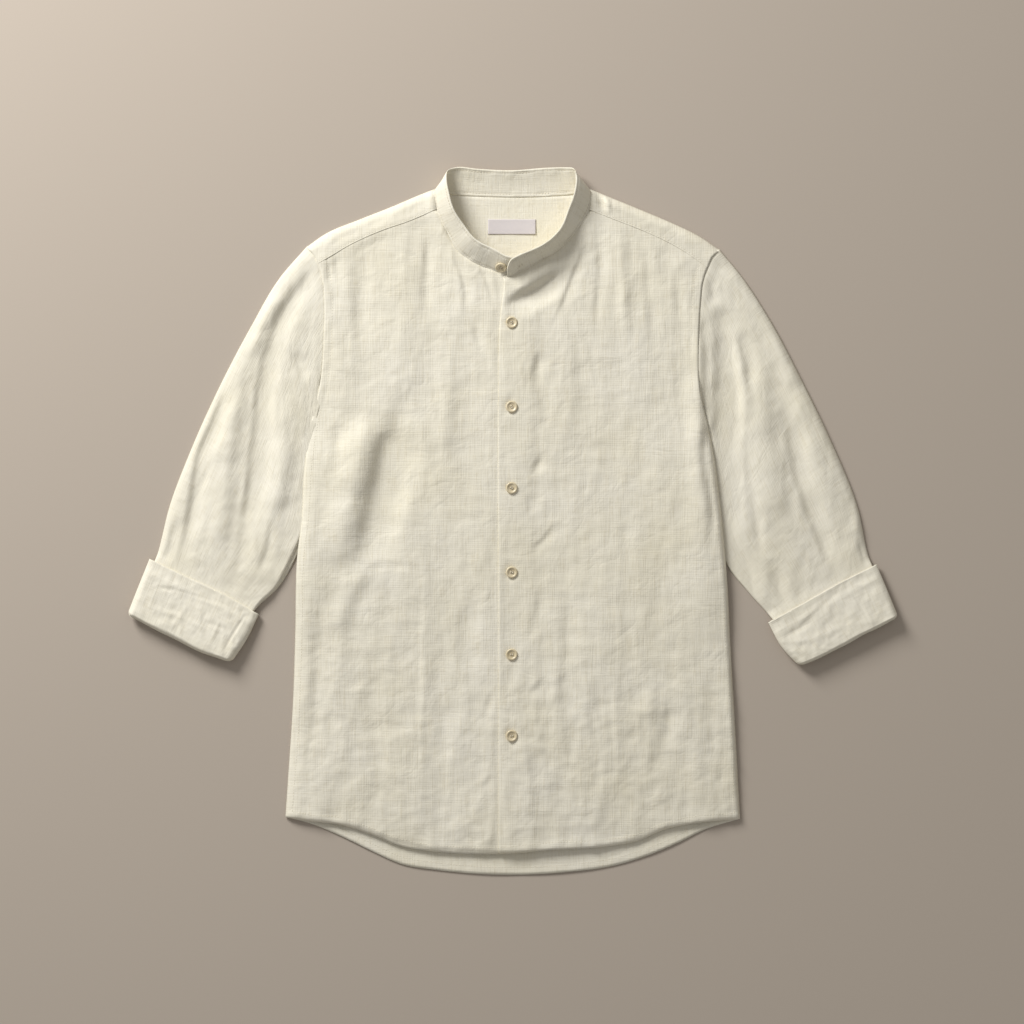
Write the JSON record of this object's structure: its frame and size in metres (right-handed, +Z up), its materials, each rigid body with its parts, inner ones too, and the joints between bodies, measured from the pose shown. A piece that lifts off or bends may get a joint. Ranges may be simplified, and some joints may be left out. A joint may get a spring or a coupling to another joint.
{
  "type": "band collar shirt laid flat",
  "caption": "Long-sleeved woven shirt with a standing band collar, buttoned front and turned-back sleeve ends, laid flat.",
  "frame": {"origin": "centre of the bounding box in plan, on the surface the shirt lies on", "axes": "+X towards the wearer's left sleeve, +Y towards the collar, +Z up from the surface"},
  "size_m": [0.8465, 0.7773, 0.0296],
  "materials": {
    "cloth": "matt woven linen",
    "label": "woven tape, blank",
    "buttons": "polished horn look"
  },
  "bodies": {
    "root": {"back": "cloth", "yoke": "cloth", "front_left": "cloth", "front_right": "cloth", "sleeve_left": "cloth", "sleeve_right": "cloth", "cuff_left": "cloth", "cuff_right": "cloth", "collar_band": "cloth", "neck_label": "label", "button_collar": "buttons", "button_1": "buttons", "button_2": "buttons", "button_3": "buttons", "button_4": "buttons", "button_5": "buttons", "button_6": "buttons"}
  },
  "joints": []
}
